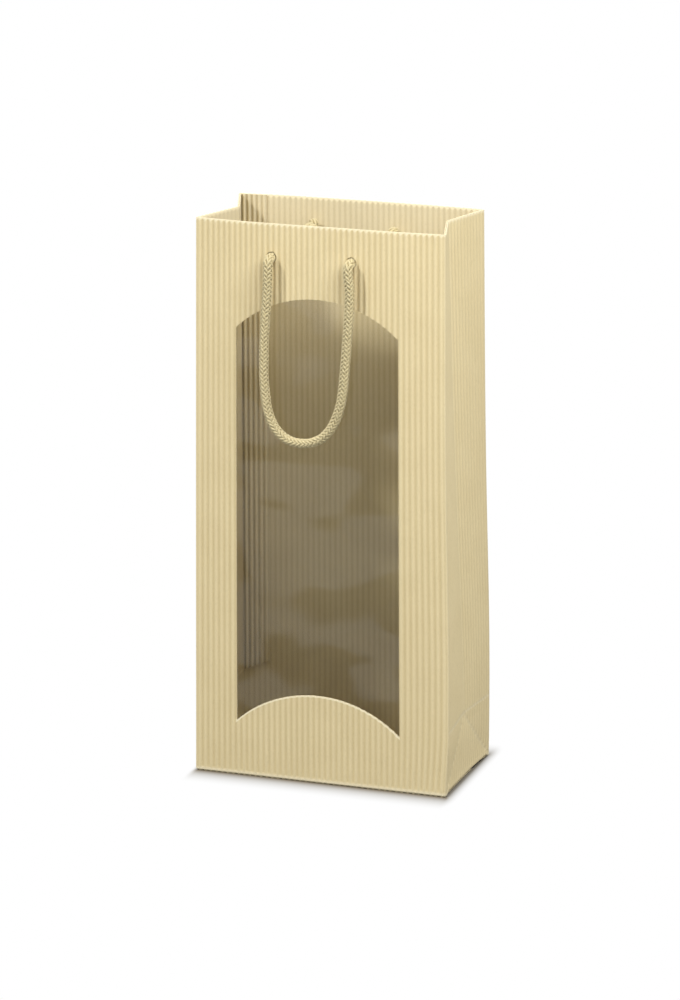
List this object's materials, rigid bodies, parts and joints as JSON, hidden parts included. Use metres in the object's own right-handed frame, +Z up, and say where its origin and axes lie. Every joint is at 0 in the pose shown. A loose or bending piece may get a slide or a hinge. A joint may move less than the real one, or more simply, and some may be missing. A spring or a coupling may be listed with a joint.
{
  "type": "bottle carrier",
  "caption": "Tall open-topped carrier bag of fluted board for wine bottles, with pinched side gussets, an arched clear-film window in front and knotted cord handles that swing up.",
  "frame": {"origin": "middle of the bottom, on the surface that the carrier stands on", "axes": "+Z up, the windowed front faces -Y, +X runs to the right seen from the front"},
  "size_m": [0.18, 0.1095, 0.385],
  "materials": {
    "fluted_board": "matt, fluted",
    "clear_film": "clear gloss",
    "braided_cord": "braided cotton"
  },
  "bodies": {
    "bag": {"front_panel": "fluted_board", "back_panel": "fluted_board", "right_gusset_front": "fluted_board", "right_gusset_rear": "fluted_board", "right_gusset_base": "fluted_board", "left_gusset_front": "fluted_board", "left_gusset_rear": "fluted_board", "left_gusset_base": "fluted_board", "seam_flap": "fluted_board", "bottom_front_flap": "fluted_board", "bottom_rear_flap": "fluted_board", "bottom_right_tuck": "fluted_board", "bottom_left_tuck": "fluted_board", "window_film": "clear_film", "front_left_cord_end": "braided_cord", "front_right_cord_end": "braided_cord", "rear_left_cord_end": "braided_cord", "rear_right_cord_end": "braided_cord"},
    "front_handle": {"front_handle_cord": "braided_cord"},
    "rear_handle": {"rear_handle_cord": "braided_cord"}
  },
  "joints": [
    {"name": "front_handle_swing", "type": "hinge", "parent": "bag", "child": "front_handle", "pos_m": [-0.005, -0.051, 0.3625], "axis": [-1, 0, 0], "range_deg": [0, 180]},
    {"name": "rear_handle_swing", "type": "hinge", "parent": "bag", "child": "rear_handle", "pos_m": [-0.005, 0.051, 0.3625], "axis": [1, 0, 0], "range_deg": [0, 180]}
  ]
}
